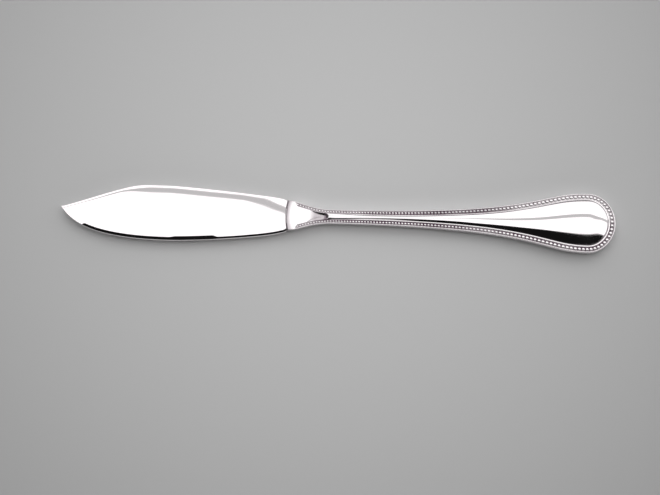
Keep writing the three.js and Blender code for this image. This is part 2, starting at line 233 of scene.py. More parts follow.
def smooth_piece(name: str, points: Array, faces: list[Face], sharp_angle: float, patina_and_shade: Array) -> Piece:
    """Makes a closed, smooth-shaded mesh object, with points that lie on each other merged.

    Args:
        name: Name of the piece.
        points: Corners, one to a row.
        faces: Corner numbers of each face.
        sharp_angle: Angle in degrees past which an edge stays sharp.
        patina_and_shade: How much patina and painted shade each corner carries, from 0 to 1.

    Returns:
        The new object, linked to the scene.
    """
    rounded = np.round(points, MERGE_DIGITS) + 0.0
    _, first, places = np.unique(rounded, axis=0, return_index=True, return_inverse=True)
    places = places.ravel()
    mesh = bpy.data.meshes.new(name)
    mesh.from_pydata(points[first].tolist(), [], [[int(places[i]) for i in face] for face in faces])
    keep_values(mesh, "patina_and_shade", patina_and_shade[first])
    work = bmesh.new()
    work.from_mesh(mesh)
    bmesh.ops.recalc_face_normals(work, faces=work.faces)
    work.to_mesh(mesh)
    work.free()
    mesh.shade_smooth()
    mesh.set_sharp_from_angle(angle=math.radians(sharp_angle))
    return linked_object(name, mesh)


def seat(piece: Piece, node: str) -> None:
    """Fixes a finished piece to the knife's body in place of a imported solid.

    Args:
        piece: The piece.
        node: The solid that it stands for.
    """
    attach(piece, BODY)
    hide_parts(node)


class NodeSketch:
    """Shorthand for adding and wiring the nodes of one tree."""

    def __init__(self, tree: Tree) -> None:
        """Starts on a tree, which may already hold nodes."""
        self.tree = tree

    def wire(self, node: Node, inputs: Inputs) -> None:
        """Gives inputs of a node their values.

        Args:
            node: The node.
            inputs: A value, or an output socket to wire up, for each named or numbered input.
        """
        for key, value in inputs.items():
            if isinstance(value, Socket):
                self.tree.links.new(value, node.inputs[key])
            else:
                node.inputs[key].default_value = value

    def add(self, kind: str, inputs: Inputs | None = None, **settings: object) -> Node:
        """Adds a node.

        Args:
            kind: Blender's name for the kind of node.
            inputs: What its inputs get, as for wire.
            settings: Properties of the node itself.

        Returns:
            The new node.
        """
        node = self.tree.nodes.new(kind)
        for key, value in settings.items():
            setattr(node, key, value)
        self.wire(node, inputs or {})
        return node

    def out(self, kind: str, inputs: Inputs | None = None, **settings: object) -> Socket:
        """Adds a node, as add does, and gives its first output."""
        return self.add(kind, inputs, **settings).outputs[0]

    def math(self, operation: str, *values: object) -> Socket:
        """Adds a Math node and gives its output."""
        return self.out("ShaderNodeMath", dict(enumerate(values)), operation=operation)

    def place(self) -> Socket:
        """Adds a node that gives places in the object's own frame."""
        return self.add("ShaderNodeTexCoord").outputs["Object"]

    def noise(self, place: Socket, size: float, layers: float) -> Socket:
        """Adds noise over given places, with swells of one size and a number of finer layers."""
        return self.out("ShaderNodeTexNoise", {"Vector": place, "Scale": 1.0 / size, "Detail": layers})

    def blend(self, share: Socket, low: object, high: object) -> Socket:
        """Adds a colour Mix node and gives its output."""
        node = self.add("ShaderNodeMix", {"Factor": share, "A": low, "B": high}, data_type="RGBA")
        return node.outputs[2]

    def tones(self, value: Socket, reach: float, stops: Pairs) -> Socket:
        """Adds a grey Color Ramp over a value that runs from -reach to reach.

        Args:
            value: What the ramp reads.
            reach: The value's furthest place from 0.
            stops: Place and brightness of each of the ramp's stops, in order.

        Returns:
            The ramp's output.
        """
        scale = 0.5 / reach
        node = self.add("ShaderNodeValToRGB", {"Fac": self.math("MULTIPLY_ADD", value, scale, 0.5)})
        elements = node.color_ramp.elements
        while len(elements) < len(stops):
            elements.new(1.0)
        for element, (place, bright) in zip(elements, stops):
            element.position = place * scale + 0.5
            element.color = (bright, bright, bright, 1.0)
        return node.outputs[0]

    def kept(self, label: str) -> Socket:
        """Adds a node that reads the values kept under a label."""
        return self.out("GeometryNodeInputNamedAttribute", {"Name": label}, data_type="FLOAT")

    def keep(self, geometry: Socket, label: str, value: Socket) -> Socket:
        """Adds a node that keeps values under a label, and gives the geometry."""
        inputs = {"Geometry": geometry, "Name": label, "Value": value}
        return self.out("GeometryNodeStoreNamedAttribute", inputs, data_type="FLOAT")


def new_material(name: str) -> tuple[Material, NodeSketch, Node]:
    """Starts a material.

    Args:
        name: Its name.

    Returns:
        The material, a sketch of its tree and its shader node.
    """
    material = bpy.data.materials.new(name)
    material.use_nodes = True
    return material, NodeSketch(material.node_tree), material.node_tree.nodes["Principled BSDF"]


@dataclass(frozen=True)
class PolishedSilver:
    """Silver plate with a mirror polish, darkened by patina where polishing cloth doesn't reach and by
    painted shade where its pieces carry it.
    """

    name: str
    colour: Colour = (0.95, 0.917, 0.93)
    warm: Colour = (0.925, 0.88, 0.893)
    patina_and_shade_colour: Colour = (0.085, 0.04, 0.068)
    gloss: float = 0.03
    haze: float = 0.07
    haze_from: float = 0.3
    haze_to: float = 0.7
    patina_and_shade_roughness: float = 0.32
    patina_and_shade_least: float = 0.45
    ripple_length: float = 0.016
    ripple_depth: float = 0.00004
    scratch_length: float = 0.012
    scratch_width: float = 0.00012
    scratch_depth: float = 0.0000004
    scratch_layers: float = 1.0
    smudge_size: float = 0.009
    smudge_layers: float = 3.0

    def material(self) -> Material:
        """Builds the material.

        Returns:
            A metal whose colour, gloss and fine relief vary over the surface.
        """
        material, sketch, shader = new_material(self.name)
        place = sketch.place()
        smudge = sketch.noise(place, self.smudge_size, self.smudge_layers)
        # Patina and painted shade, kept on each piece, darken the colour and dull the gloss.
        patina_and_shade = sketch.add("ShaderNodeAttribute", attribute_name="patina_and_shade").outputs["Fac"]
        patchy = sketch.math("MULTIPLY", patina_and_shade, sketch.math("ADD", smudge, self.patina_and_shade_least))
        plate = sketch.blend(smudge, (*self.colour, 1.0), (*self.warm, 1.0))
        smudges = {"Value": smudge, "From Min": self.haze_from, "From Max": self.haze_to}
        sheen = sketch.out("ShaderNodeMapRange", {**smudges, "To Min": self.gloss, "To Max": self.haze})
        sketch.wire(shader, {
            "Metallic": 1.0,
            "Base Color": sketch.blend(patchy, plate, (*self.patina_and_shade_colour, 1.0)),
            "Roughness": sketch.math("MULTIPLY_ADD", patchy, self.patina_and_shade_roughness, sheen),
            "Normal": self._relief(sketch, place),
        })
        return material

    def _relief(self, sketch: NodeSketch, place: Socket) -> Socket:
        """Slow ripples left by hand polishing, with hairline scratches along the knife.

        Args:
            sketch: The material's tree.
            place: Places in the object's own frame.

        Returns:
            The bent normal.
        """
        swell = sketch.noise(place, self.ripple_length, 0.0)
        ripple = sketch.out("ShaderNodeBump", {"Height": swell, "Distance": self.ripple_depth})
        stretch = (1.0 / self.scratch_length, 1.0 / self.scratch_width, 1.0 / self.scratch_width)
        drawn = sketch.out("ShaderNodeMapping", {"Vector": place, "Scale": stretch})
        hair = sketch.noise(drawn, 1.0, self.scratch_layers)
        inputs = {"Height": hair, "Distance": self.scratch_depth, "Normal": ripple}
        return sketch.out("ShaderNodeBump", inputs)


@dataclass(frozen=True)
class GrainedFinish:
    """A dull finish in two tones, with a grain of the same pattern."""

    name: str
    light: Colour
    dark: Colour
    grain: float
    roughness: float
    metallic: float
    layers: float = 4.0
    grain_depth: float = 0.1

    def material(self) -> Material:
        """Builds the material.

        Returns:
            A speckled metal or stone.
        """
        material, sketch, shader = new_material(self.name)
        speckle = sketch.noise(sketch.place(), self.grain, self.layers)
        relief = {"Height": speckle, "Distance": self.grain * self.grain_depth}
        tones = sketch.add("ShaderNodeValToRGB", {"Fac": speckle})
        for element, colour in zip(tones.color_ramp.elements, (self.dark, self.light)):
            element.color = (*colour, 1.0)
        sketch.wire(shader, {
            "Base Color": tones.outputs[0],
            "Metallic": self.metallic,
            "Roughness": self.roughness,
            "Normal": sketch.out("ShaderNodeBump", relief),
        })
        return material


HIDDEN_FINISHES = {
    "handle_filler": GrainedFinish(
        name="handle_cement",
        light=(0.40, 0.34, 0.27),
        dark=(0.27, 0.22, 0.17),
        grain=0.0009,
        roughness=0.95,
        metallic=0.0,
    ),
    "seam_solder": GrainedFinish(
        name="soft_solder",
        light=(0.52, 0.52, 0.53),
        dark=(0.30, 0.30, 0.31),
        grain=0.0006,
        roughness=0.35,
        metallic=1.0,
    ),
}


@dataclass(frozen=True)
class Blade:
    """Blade, shoulder and tang as one forging."""

    places: KnifePlaces
    finish: PolishedSilver
    joint_gap: float = 0.0001
    shoulder_width: float = JOINT_WIDTH
    shoulder_bow: float = JOINT_BOW
    heel_width: float = 0.0109
    heel_round: float = 0.002
    heel_edge: float = 0.00012
    heel_shade: float = 0.00024
    spine_crest_at: float = 0.0364
    clip_start_at: float = 0.0509
    clip_start_reach: float = 0.00704
    belly_lowest_at: float = 0.0352
    tip_reach: float = 0.00115
    tip_width: float = 0.0003
    tip_thinning: float = 0.45
    heel_handles: Pairs = ((0.45, 0.8),)
    rise_handles: Pairs = ((0.10, 0.26), (0.85, 1.0))
    turn_handles: Pairs = ((0.50, 0.0), (0.60, -0.20833))
    clip_handles: Pairs = ((0.33, 0.30), (0.68, 0.70))
    belly_handles: Pairs = ((0.19, 0.58), (0.80, 1.0))
    sweep_handles: Pairs = ((0.45, 0.0), (0.85, 0.17921))
    bevel_widens: Ease = Ease(0.0205, 0.0225, 0.00078, 0.00145)
    bevel_slims: Ease = Ease(0.0335, 0.0355, 0.0, 0.00035)
    bevel_fades: Ease = Ease(0.0612, 0.0637, 1.0, 0.25)
    bevel_drop: float = 0.0003
    bevel_drop_power: float = 3.0
    bevel_roll: float = 1.25
    bevel_most: float = 0.35
    crown_width: Ease = Ease(0.003, 0.0138, 0.0062, 0.0038)
    crown_slope: Ease = Ease(0.0, 0.0075, 0.168, 0.121)
    crown_clips: Ease = Ease(0.0411, 0.0518)
    crown_clip_width: float = 0.00148
    crown_clip_slope: float = 0.185
    crown_ends: Ease = Ease(0.0518, 0.066)
    crown_tip_width: float = 0.001
    crown_tip_slope: float = 0.348
    crown_most: float = 0.95
    spine_round: float = 0.00022
    edge_round: float = 0.00018
    round_most: float = 0.12
    tang_half: float = 0.0004
    tang_root: float = 0.0048
    tang_neck: float = 0.0016
    tang_end: float = 0.0012
    tang_neck_at: float = 0.010
    sharp_angle: float = 50.0

    # Numbers of sections along the blade, and of corners along each part of half a section
    EDGE_SECTIONS = 6
    HEEL_SECTIONS = 14
    RISE_SECTIONS = 90
    TURN_SECTIONS = 36
    CLIP_SECTIONS = 70
    ROUND_CORNERS = 6
    FLAT_CORNERS = 9
    CROWN_CORNERS = 16

    @property
    def length(self) -> float:
        """Length from the shoulder to the tip."""
        return self.places.mouth_x - self.joint_gap - self.places.tip_x

    def spine(self) -> Outline:
        """Outline of the back: heel, long rise, crest and clipped point.

        Returns:
            The outline.
        """
        heel = (self.heel_round, self.heel_width / 2)
        crest = (self.spine_crest_at, self.places.spine_reach)
        clip = (self.clip_start_at, self.clip_start_reach)
        tip = (self.length, self.tip_reach + self.tip_width / 2)
        return Outline(
            (0.0, self.shoulder_width / 2),
            (heel, self.heel_handles),
            (crest, self.rise_handles),
            (clip, self.turn_handles),
            (tip, self.clip_handles),
        )

    def belly(self) -> Outline:
        """Outline of the cutting side: heel, full belly and sweep to the point.

        Returns:
            The outline.
        """
        heel = (self.heel_round, -self.heel_width / 2)
        lowest = (self.belly_lowest_at, -self.places.belly_reach)
        tip = (self.length, self.tip_reach - self.tip_width / 2)
        return Outline(
            (0.0, -self.shoulder_width / 2),
            (heel, self.heel_handles),
            (lowest, self.belly_handles),
            (tip, self.sweep_handles),
        )

    def _stops(self) -> Array:
        """Places of the sections, closer together at the heel, the clip and the point.

        Returns:
            A column of the places in order.
        """
        edge = 1.0 - np.cos(np.linspace(0.0, QUARTER_TURN, self.EDGE_SECTIONS))
        clip = np.sin(np.linspace(0.0, QUARTER_TURN, self.CLIP_SECTIONS))
        return np.concatenate([
            self.heel_edge * edge[:-1],
            np.linspace(self.heel_edge, self.heel_round, self.HEEL_SECTIONS)[:-1],
            np.linspace(self.heel_round, self.spine_crest_at, self.RISE_SECTIONS)[:-1],
            np.linspace(self.spine_crest_at, self.clip_start_at, self.TURN_SECTIONS)[:-1],
            between(self.clip_start_at, self.length, clip),
        ])[:, None]

    def _bevel(self, along: Array) -> Array:
        """Width of the ground bevel, fullest along the belly and slight at the point."""
        return (self.bevel_widens.at(along) - self.bevel_slims.at(along)) * self.bevel_fades.at(along)

    def _crown(self, along: Array) -> tuple[Array, Array]:
        """The rounded crown below the back, which narrows and steepens along the clip.

        Args:
            along: Places of the sections.

        Returns:
            Its width, and its slope where it meets the back.
        """
        clip = self.crown_clips.at(along)
        tip = self.crown_ends.at(along)
        width = between(self.crown_width.at(along), self.crown_clip_width, clip)
        slope = between(self.crown_slope.at(along), self.crown_clip_slope, clip)
        return between(width, self.crown_tip_width, tip), between(slope, self.crown_tip_slope, tip)

    def _half_loops(self, along: Array) -> tuple[Array, Array]:
        """Front half of each section: edge, bevel, cheek, crown and back.

        Args:
            along: Places of the sections.

        Returns:
            Sideways place and height of each corner, one section to a row.
        """
        top = self.spine().reach(along)
        bottom = self.belly().reach(along)
        width = top - bottom
        half = self.places.blade_half
        thin = Ease(self.clip_start_at, self.length, 1.0, 1.0 - self.tip_thinning).at(along)
        bevel = np.minimum(self._bevel(along), width * self.bevel_most)
        drop = self.bevel_drop * self.bevel_fades.at(along) ** self.bevel_drop_power
        crown, slope = self._crown(along)
        crown = np.minimum(crown, (width - bevel) * self.crown_most)
        sag = crown * slope / 2 / thin
        edge_round = np.minimum(self.edge_round, width * self.round_most)
        spine_round = np.minimum(self.spine_round, width * self.round_most)
        arc = np.linspace(0.0, QUARTER_TURN, self.ROUND_CORNERS)
        flat = np.linspace(0.0, 1.0, self.FLAT_CORNERS)[1:]
        reach = between(spine_round, crown, np.linspace(1.0, 0.0, self.CROWN_CORNERS)[1:])
        shoulder = half - sag * (1.0 - spine_round / crown) ** 2
        across = np.concatenate([
            bottom + edge_round * (1.0 - np.cos(arc)),
            bottom + between(edge_round, bevel, flat),
            bottom + bevel + (width - bevel - crown) * flat,
            top - reach,
            top - spine_round * (1.0 - np.sin(arc[1:])),
        ], axis=1)
        height = np.concatenate([
            (half - drop) * np.sin(arc),
            half - drop * (1.0 - flat) ** self.bevel_roll,
            half + 0.0 * width * flat,
            half - sag * (1.0 - reach / crown) ** 2,
            shoulder * np.cos(arc[1:]),
        ], axis=1)
        lost = self.heel_edge * rounding(along, self.heel_edge)
        return across, np.maximum(height * thin - lost, 0.0)

    def _tang_loops(self, count: int) -> tuple[Array, Array, Array]:
        """Front half of the tang's sections, with as many corners as the blade's.

        Args:
            count: Corners in a half loop.

        Returns:
            Place past the mouth, sideways place and height of each corner, one section to a row.
        """
        end = self.places.tang_end_x - self.places.mouth_x
        stops = np.array([end, self.tang_neck_at, self.shoulder_bow, -self.joint_gap])[:, None]
        widths = np.array([self.tang_end, self.tang_neck, self.tang_root, self.tang_root])[:, None]
        shares = np.linspace(-1.0, 1.0, count)
        across = widths / 2 * shares
        height = np.where(np.abs(shares) == 1.0, 0.0, self.tang_half)
        return stops + 0.0 * across, across, height + 0.0 * across

    def build(self) -> Piece:
        """Lofts the tang and the blade through their sections and dresses the forging.

        Returns:
            The finished blade.
        """
        along = self._stops()
        across, height = self._half_loops(along)
        left = np.maximum(0.0, 1.0 - along / self.heel_width)
        bow = self.shoulder_bow * (across / (self.shoulder_width / 2)) ** 2 * left
        tang_x, tang_across, tang_height = self._tang_loops(across.shape[1])
        x = np.concatenate([tang_x, bow - self.joint_gap - along]) + self.places.mouth_x
        across = np.concatenate([tang_across, across])
        height = np.concatenate([tang_height, height])
        front = np.stack([x, across, self.places.seam_z + height], axis=2)
        back = np.stack([x, across, self.places.seam_z - height], axis=2)
        loops = np.concatenate([front, back[:, -2:0:-1]], axis=1)
        rows, size = loops.shape[:2]
        corners = np.arange(rows * size).reshape(rows, size)
        closed = np.concatenate([corners, corners[:, :1]], axis=1)
        faces = [face for lower, upper in zip(closed, closed[1:]) for face in strip(lower, upper)]
        faces += [tuple(corners[0]), tuple(corners[-1])]
        # Painted shade on the blade by its joint with the handle.
        shade = Ease(0.0, self.heel_shade, 1.0, 0.0).at(along)
        patina_and_shade = np.repeat(np.concatenate([0.0 * tang_x[:, :1], shade]), size)
        piece = smooth_piece("blade_forging", loops.reshape(-1, 3), faces, self.sharp_angle, patina_and_shade)
        piece.data.materials.append(self.finish.material())
        seat(piece, "blade")
        return piece


@dataclass(frozen=True)
class Rays:
    """Rays across one flank of the handle, each from a point of its outline to a foot on its axis.

    The arrays are columns, one ray to a row.
    """

    flank: int
    along: Array
    edge_x: Array
    edge_y: Array
    foot_x: Array
    bend: Array

    @property
    def length(self) -> Array:
        """Length of each ray."""
        return np.hypot(self.edge_x - self.foot_x, self.edge_y)

    def left(self, depth: Array) -> Array:
        """Share of each ray that is left at given depths inside the outline."""
        return np.clip(1.0 - depth / self.length, 0.0, 1.0)

    def inward(self, depth: Array) -> tuple[Array, Array]:
        """Places along and across the handle, at given depths inside the outline."""
        left = self.left(depth)
        return between(self.foot_x, self.edge_x, left**self.bend), self.flank * self.edge_y * left


@dataclass(frozen=True)
class HandleForm:
    """Outline, border and panel of the handle. A pair of sizes is for the neck and for the dome."""

    places: KnifePlaces
    mouth_width: float = JOINT_WIDTH
    mouth_bow: float = JOINT_BOW
    neck_at: float = 0.015
    ridge_width: float = 0.00190
    butt_round: float = 0.0086
    flare_handles: Pairs = ((0.31, 0.14), (0.45, 1.0))
    swell_handles: Pairs = ((0.826, 0.0), (0.8, 1.0))
    side_bend: float = 2.0
    cap_foot_share: float = 0.12
    fan_rise: float = 0.00062
    fan_fall_at: float = 0.0036
    mouth_rim_rise: float = 0.00062
    rim_level_at: float = 0.011
    channel_depth: float = 0.00028
    tongue_begins: Ease = Ease(0.0066, 0.0092)
    valley_at: float = 0.0119
    valley_rise: float = -0.00005
    nose_length: float = 0.0014
    notch_sweep: float = 320.0
    ridge_rise: float = 0.00048
    ridge_end_at: float = 0.055
    dome_rise: float = 0.00098
    dome_full_at: float = 0.088
    panel_foot: float = 0.00023
    fullness: Ease = Ease(0.010, 0.040, 3.5, 2.0)
    sway_from: float = 0.070
    crest_sway: float = 0.1
    lip_round: float = 0.00028
    lip_drop: float = 0.00036
    lip_slope_length: float = 0.0012
    lip_slope_drop: float = 0.00018
    edge_round: float = 0.0003
    bead_sizes: Pair = (0.00074, 0.00108)
    bead_pitches: Pair = (0.00086, 0.00126)
    bead_pitch_butt: float = 0.00118
    bead_grow_from: float = 0.016
    bead_grow_to: float = 0.080
    bead_start_at: float = 0.0032
    bead_fade: float = 0.0006
    rim_ratio: float = 0.5
    groove_ratio: float = 0.12
    thread_ratio: float = 0.5
    thread_rises: Ease = Ease(0.015, 0.026)
    border_least: float = 0.1
    wall: float = 0.0005
    rim_wall: float = 0.00075

    @property
    def length(self) -> float:
        """Length from the mouth to the butt."""
        return self.places.butt_x - self.places.mouth_x

    @property
    def butt_centre(self) -> float:
        """Place where the round butt begins."""
        return self.length - self.butt_round

    @property
    def floor_level(self) -> float:
        """Height of the bead channel's floor behind the fan."""
        return self.places.crest - self.dome_rise

    @property
    def nose_end(self) -> float:
        """Place where the ridge's nose has risen out of the valley."""
        return self.valley_at + self.nose_length

    def side_outline(self) -> Outline:
        """Half width of the handle: flare, slim neck and long swell.

        Returns:
            The outline.
        """
        border = self.bead_sizes[0] * (self.rim_ratio + 1 + self.groove_ratio)
        mouth = (self.mouth_bow, self.mouth_width / 2)
        neck = (self.neck_at, self.ridge_width / 2 + border)
        butt = (self.butt_centre, self.places.butt_half)
        return Outline(mouth, (neck, self.flare_handles), (butt, self.swell_handles))

    def rays(self, along: Array, turns: int, flank: int) -> Rays:
        """Rays of one flank, from the mouth round to the middle of the butt.

        Args:
            along: Places of the rays between mouth and butt.
            turns: Number of rays round half the butt, counting the one where it begins.
            flank: 1 or -1.

        Returns:
            The rays in order.
        """
        angles = np.linspace(0.0, QUARTER_TURN, turns)[1:]
        reach = self.butt_round * np.sin(angles)
        left = np.maximum(0.0, 1.0 - (along - self.mouth_bow) / self.valley_at)
        foot = along - self.mouth_bow * left
        parts = {
            "along": (along, np.full(len(angles), self.butt_centre)),
            "edge_x": (along, self.butt_centre + reach),
            "edge_y": (self.side_outline().reach(along), self.places.butt_half * np.cos(angles)),
            "foot_x": (foot, self.butt_centre + reach * self.cap_foot_share),
            "bend": (np.full(len(along), self.side_bend), np.ones(len(angles))),
        }
        return Rays(flank, **{name: np.concatenate(pair)[:, None] for name, pair in parts.items()})

    def growth(self, along: Array) -> Array:
        """How far the beads have grown, from 0 at the neck to 1 on the dome."""
        return np.clip((along - self.bead_grow_from) / (self.bead_grow_to - self.bead_grow_from), 0.0, 1.0)

    def bead_size(self, along: Array) -> Array:
        """Diameter of the beads at each place."""
        return between(*self.bead_sizes, self.growth(along))

    def bead_pitch(self, along: Array) -> Array:
        """Distance from bead to bead at each place, a little less round the butt."""
        butt = Ease(self.dome_full_at, self.butt_centre).at(along)
        return between(between(*self.bead_pitches, self.growth(along)), self.bead_pitch_butt, butt)

    def border_share(self, along: Array) -> Array:
        """How far the border has grown from the plain edge at the mouth, from 0 to 1."""
        return Ease(self.bead_start_at - self.bead_fade, self.bead_start_at + self.bead_fade).at(along)

    def tongue_share(self, along: Array) -> Array:
        """How far the fan has narrowed to the tongue that runs into the notch, from 0 to 1."""
        return self.tongue_begins.at(along) * Ease(self.valley_at, self.nose_end, 1.0, 0.0).at(along)

    def rim_height(self, along: Array) -> Array:
        """Height of the rim's top."""
        rise = Ease(self.bead_start_at, self.rim_level_at, self.mouth_rim_rise, self.channel_depth)
        return self.floor_level + rise.at(along)

    def floor_height(self, along: Array) -> Array:
        """Height of the bead channel's floor."""
        return self.rim_height(along) - self.channel_depth * self.border_share(along)

    def crest_height(self, along: Array) -> Array:
        """Height of the panel's crest: fan, valley, ridge and dome.

        Args:
            along: Places to read.

        Returns:
            The height at each place.
        """
        fan = Ease(self.fan_fall_at, self.valley_at, self.fan_rise, self.valley_rise).at(along)
        ridge = between(fan, self.ridge_rise, Ease(self.valley_at, self.nose_end).at(along))
        dome = Ease(self.ridge_end_at, self.dome_full_at).at(along)
        return self.floor_level + between(ridge, self.dome_rise, dome)

    def lip(self, past: Array) -> Array:
        """How far the rounded lip falls, at given distances past the mouth."""
        slope = np.clip(1.0 - past / self.lip_slope_length, 0.0, 1.0)
        return self.lip_drop * rounding(past, self.lip_round) + self.lip_slope_drop * slope**2

    def border(self, along: Array) -> tuple[Array, Array, Array]:
        """Widths across the border.

        Args:
            along: Places to read.

        Returns:
            Widths of the rim, of the bead channel and of the thread.
        """
        share = self.border_share(along)
        bead = self.bead_size(along)
        rim = between(self.edge_round, bead * self.rim_ratio, share)
        channel = bead * between(self.border_least, 1.0 + self.groove_ratio, share)
        thread = bead * between(self.border_least, self.thread_ratio, self.thread_rises.at(along))
        return rim, channel, thread

    def _swept(self, rays: Rays, depth: Array) -> Array:
        """Places along the handle, drawn towards the butt away from the axis where the notch is pointed.

        Args:
            rays: The rays.
            depth: Depths of the points inside the outline.

        Returns:
            The drawn place of each point.
        """
        sweep = Ease(self.fan_fall_at, self.rim_level_at, 0.0, self.notch_sweep).at(rays.along)
        sweep = sweep * Ease(self.neck_at, self.thread_rises.stop, 1.0, 0.0).at(rays.along)
        _, across = rays.inward(depth)
        return rays.along + sweep * across**2

    def crevice(self, rays: Rays, depth: Array) -> Array:
        """How deep points of the panel lie in the crevice before the ridge's nose, from 0 to 1.

        Args:
            rays: The rays.
            depth: Depths of the points inside the outline.

        Returns:
            The share for each point.
        """
        along = self._swept(rays, depth)
        before = Ease(self.valley_at - self.nose_length / 2, self.valley_at)
        behind = Ease(self.valley_at + self.nose_length / 2, self.nose_end, 1.0, 0.0)
        return before.at(along) * behind.at(along)

    def _swell(self, rays: Rays, out: Array) -> Array:
        """Rise of the panel along each ray, with a crest that sways from the axis on the dome.

        Args:
            rays: The rays.
            out: Shares of the panel's width, from 0 on the axis to 1 at the border.

        Returns:
            The share of the crest's rise at each point.
        """
        full, flat = self.fullness.low, self.fullness.high
        fan = Ease(self.valley_at, self.neck_at, flat, full).at(rays.along)
        fullness = np.minimum(self.fullness.at(rays.along), fan)
        sway = Ease(self.sway_from, self.butt_centre, -self.crest_sway, self.crest_sway).at(rays.along)
        sway = rays.flank * sway * Ease(self.ridge_end_at, self.sway_from).at(rays.along)
        sway = sway * rays.edge_y / np.maximum(rays.length, rays.edge_y)
        return (1.0 - out**fullness) * (1.0 + 2.0 * sway * out) / (1.0 + sway * sway)

    def panel(self, rays: Rays, shares: Array) -> tuple[Array, Array]:
        """The panel along each ray, from the border to the axis.

        Args:
            rays: The rays.
            shares: Shares of the panel's width, from 0 at the border to 1 on the axis.

        Returns:
            Depth inside the outline and height.
        """
        depth = between(sum(self.border(rays.along)), rays.length, shares)
        crest = self.crest_height(self._swept(rays, depth))
        foot = self.panel_foot * self.border_share(rays.along)
        foot = foot * Ease(self.sway_from, self.dome_full_at, 1.0, 0.0).at(rays.along)
        base = self.floor_height(rays.along) + foot
        return depth, between(base, crest, self._swell(rays, 1.0 - shares))


@dataclass(frozen=True)
class HandleWearAndShade:
    """Where the handle is lightened and darkened, where patina and painted shade lie and where the thread is
    worn, as shares from 0 to 1.

    The eases read places along the handle, but for three kinds. Those called across read a ray's half width
    as a share of the butt's, with the flank as its sign. The thread's turn reads how far round the butt a
    ray lies. The lip's reads distances as shares of the width of its painted shade. The rim's pair is for
    the neck and the dome, and the groove's for places without and with the thread.
    """

    form: HandleForm
    lightened_butt: Ease = Ease(0.060, 0.080, 0.0, 0.75)
    lightened_across: Ease = Ease(-0.2, 0.3)
    lightened_neck: Ease = Ease(0.016, 0.030, 0.42, 0.0)
    lightened_fan: Ease = Ease(0.007, 0.012, 0.3, 0.0)
    darkening_begins: Ease = Ease(0.034, 0.048)
    darkening_ends: Ease = Ease(0.060, 0.072, 1.0, 0.0)
    darkening_by_spine: float = 0.36
    darkening_by_edge: float = 0.2
    thread_shade: float = 0.28
    thread_loss: float = 0.6
    thread_turn: Ease = Ease(0.0, 0.4)
    thread_across: Ease = Ease(0.0, 0.4)
    rim_patina_and_shade: Pair = (0.04, 0.2)
    rim_wall_patina_and_shade: float = 0.6
    groove_patina_and_shade: Pair = (0.3, 0.9)
    groove_width: float = 1 / 12
    tongue_shade: float = 0.62
    crevice_shade: float = 0.95
    lip_shade: float = 0.53
    lip_fades: Ease = Ease(0.3, 1.6, 1.0, 0.0)
    lip_width_middle: float = 0.001
    lip_width_corner: float = 0.0015

    def _across(self, rays: Rays) -> Array:
        """Half width at each ray as a share of the butt's, with the flank as its sign."""
        return rays.flank * rays.edge_y / self.form.places.butt_half

    def lightened(self, rays: Rays) -> Array:
        """Share of the border whose patina and painted shade are lightened: round the butt and the neck by
        the spine, and on the fan.

        Args:
            rays: The rays.

        Returns:
            The share for each ray.
        """
        butt = self.lightened_butt.at(rays.along) * self.lightened_across.at(self._across(rays))
        neck = self.lightened_neck.at(rays.along) * (rays.flank > 0)
        return np.maximum(butt, np.maximum(neck, self.lightened_fan.at(rays.along)))

    def film(self, rays: Rays) -> Array:
        """Darkening along the middle of the border, stronger by the spine than by the edge."""
        most = self.darkening_by_spine if rays.flank > 0 else self.darkening_by_edge
        return most * self.darkening_begins.at(rays.along) * self.darkening_ends.at(rays.along)

    def _corner(self, rays: Rays) -> Array:
        """Share of the round butt's corner, where hands have worn the thread most."""
        return self.thread_turn.at((rays.edge_x - self.form.butt_centre) / self.form.butt_round)

    def film_on_thread(self, rays: Rays) -> Array:
        """Painted shade on the thread by the spine, as far as the round butt."""
        most = self.thread_shade * (rays.flank > 0)
        return most * self.darkening_begins.at(rays.along) * (1.0 - self._corner(rays))

    def lost_from_thread(self, rays: Rays) -> Array:
        """Share of the thread's rise that is worn away round the butt's corner by the spine."""
        return self.thread_loss * self._corner(rays) * self.thread_across.at(self._across(rays))

    def notch(self, rays: Rays, depth: Array) -> Array:
        """Painted shade on the tongue and in the crevice, at given depths inside the outline."""
        tongue = self.form.tongue_share(rays.along) * self.tongue_shade
        return np.maximum(tongue, self.form.crevice(rays, depth) * self.crevice_shade)

    def lip(self, rays: Rays, depth: Array) -> Array:
        """Painted shade on the lip, widest at the mouth's corners.

        Args:
            rays: The rays.
            depth: Depths of the points inside the outline.

        Returns:
            The share for each point.
        """
        width = between(self.lip_width_middle, self.lip_width_corner, rays.left(depth) ** 2)
        past = rays.along - self.form.mouth_bow
        return self.lip_shade * self.lip_fades.at(past / width)


